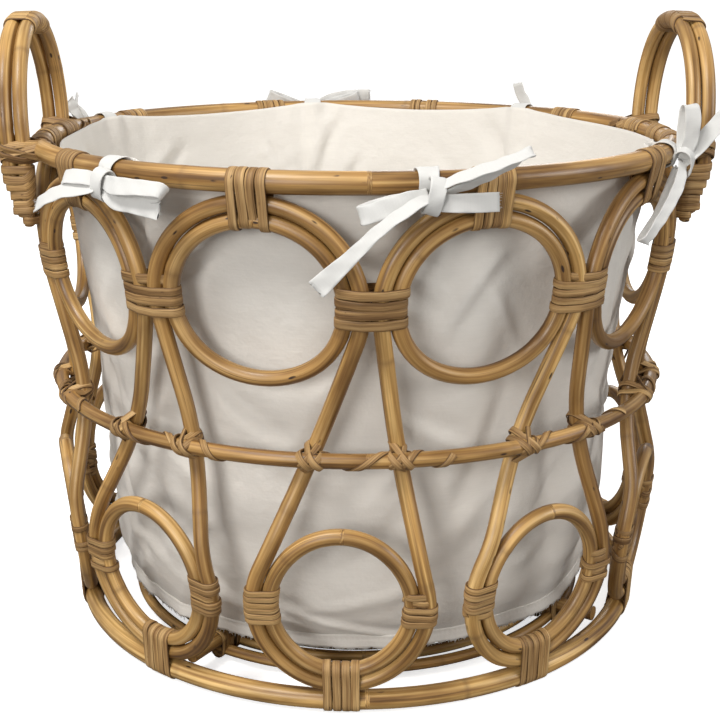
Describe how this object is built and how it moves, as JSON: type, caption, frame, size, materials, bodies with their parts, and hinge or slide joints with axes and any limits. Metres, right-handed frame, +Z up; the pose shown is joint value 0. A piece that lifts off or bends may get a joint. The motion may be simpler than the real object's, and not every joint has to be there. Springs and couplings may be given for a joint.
{
  "type": "laundry basket",
  "caption": "Round open laundry basket of bent cane rings and stakes lashed with peel, with two arched handles and a removable tied-in cotton liner.",
  "frame": {"origin": "on the floor, under the centre of the basket", "axes": "+Z up through the basket's centre, +X towards one handle and -X towards the other, -Y towards the front"},
  "size_m": [0.5078, 0.5064, 0.4511],
  "materials": {
    "cane": "satin",
    "peel": "matt",
    "liner_cotton": "matt",
    "tape_cotton": "matt"
  },
  "bodies": {
    "cane_frame": {"rim_hoop": "cane", "waist_hoop": "cane", "base_hoop": "cane", "floor_hoop_1": "cane", "floor_hoop_2": "cane", "floor_hoop_3": "cane", "floor_bar_1": "cane", "floor_bar_2": "cane", "upper_ring_01": "cane", "upper_ring_02": "cane", "upper_ring_03": "cane", "upper_ring_04": "cane", "upper_ring_05": "cane", "upper_ring_06": "cane", "upper_ring_07": "cane", "upper_ring_08": "cane", "upper_ring_09": "cane", "upper_ring_10": "cane", "lower_ring_01": "cane", "lower_ring_02": "cane", "lower_ring_03": "cane", "lower_ring_04": "cane", "lower_ring_05": "cane", "lower_ring_06": "cane", "lower_ring_07": "cane", "lower_ring_08": "cane", "lower_ring_09": "cane", "lower_ring_10": "cane", "stake_01": "cane", "stake_02": "cane", "stake_03": "cane", "stake_04": "cane", "stake_05": "cane", "stake_06": "cane", "stake_07": "cane", "stake_08": "cane", "stake_09": "cane", "stake_10": "cane", "handle_left_inner": "cane", "handle_left_outer": "cane", "handle_right_inner": "cane", "handle_right_outer": "cane", "top_bindings": "peel", "shoulder_bindings": "peel", "side_bindings": "peel", "base_bindings": "peel", "waist_lashings": "peel", "floor_lashings": "peel", "grip_bindings": "peel", "foot_lashings": "peel", "rim_wraps": "peel"},
    "liner": {"liner_wall": "liner_cotton", "liner_base": "liner_cotton", "tie_1": "tape_cotton", "tie_2": "tape_cotton", "tie_3": "tape_cotton", "tie_4": "tape_cotton", "tie_5": "tape_cotton", "tie_6": "tape_cotton"}
  },
  "joints": [
    {"name": "liner_lift", "type": "slide", "parent": "cane_frame", "child": "liner", "axis": [0, 0, 1], "range_m": [0, 0.36], "deforming": ["tie_1", "tie_2", "tie_3", "tie_4", "tie_5", "tie_6"]}
  ]
}
